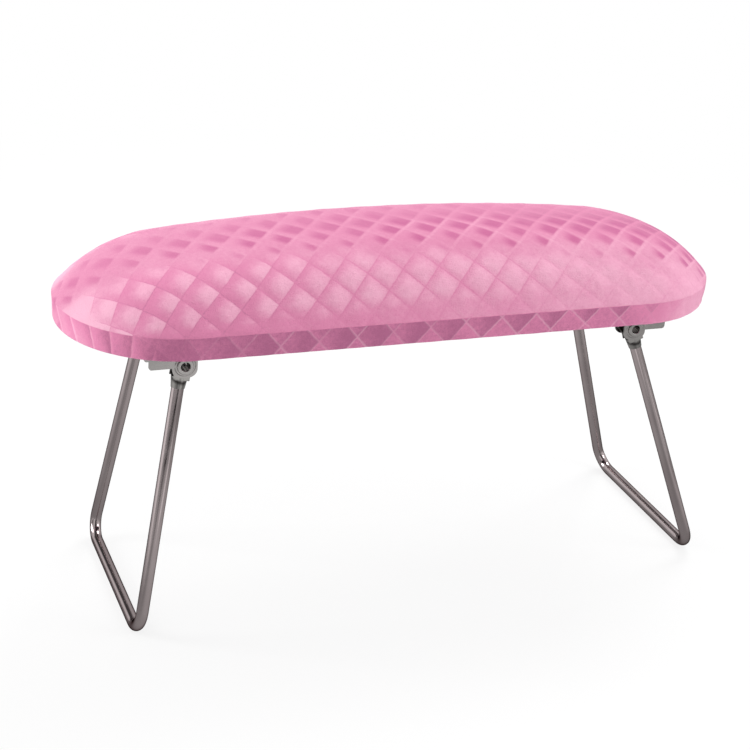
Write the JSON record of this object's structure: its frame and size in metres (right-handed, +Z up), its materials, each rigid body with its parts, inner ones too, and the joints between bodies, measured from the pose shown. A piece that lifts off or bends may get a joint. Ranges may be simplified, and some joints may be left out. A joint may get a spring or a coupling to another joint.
{
  "type": "manicure hand rest",
  "caption": "Long domed, diamond-quilted velvet pad on folding U-shaped steel tube legs, which are hinged in stamped brackets under the pad.",
  "frame": {"origin": "on the table surface under the middle of the pad", "axes": "+X along the pad, towards the wider-opened leg; +Y across the pad, away from the picture's viewer; +Z up"},
  "size_m": [0.399, 0.13, 0.2188],
  "materials": {
    "velvet": "matte velvet pile",
    "foam": "open-cell foam",
    "plywood": "raw",
    "liner": "non-woven cloth",
    "tube_steel": "polished",
    "screw_steel": "zinc plated",
    "rivet_steel": "nickel plated",
    "bracket_nickel": "nickel plated",
    "clasp_nickel": "nickel plated"
  },
  "bodies": {
    "pad": {"base_board": "plywood", "foam_core": "foam", "quilted_cover": "velvet", "bottom_liner": "liner", "left_front_bracket": "bracket_nickel", "left_back_bracket": "bracket_nickel", "right_front_bracket": "bracket_nickel", "right_back_bracket": "bracket_nickel", "left_front_screws": "screw_steel", "left_back_screws": "screw_steel", "right_front_screws": "screw_steel", "right_back_screws": "screw_steel", "left_front_rivet": "rivet_steel", "left_back_rivet": "rivet_steel", "right_front_rivet": "rivet_steel", "right_back_rivet": "rivet_steel"},
    "left_leg": {"left_leg_tube": "tube_steel", "left_front_clasp": "clasp_nickel", "left_back_clasp": "clasp_nickel"},
    "right_leg": {"right_leg_tube": "tube_steel", "right_front_clasp": "clasp_nickel", "right_back_clasp": "clasp_nickel"}
  },
  "joints": [
    {"name": "left_leg_fold", "type": "hinge", "parent": "pad", "child": "left_leg", "pos_m": [-0.13849, 0, 0.1608], "axis": [0, -1, 0], "range_deg": [-10.9, 101.7]},
    {"name": "right_leg_fold", "type": "hinge", "parent": "pad", "child": "right_leg", "pos_m": [0.13745, 0, 0.15482], "axis": [0, 1, 0], "range_deg": [0, 109.2]}
  ]
}
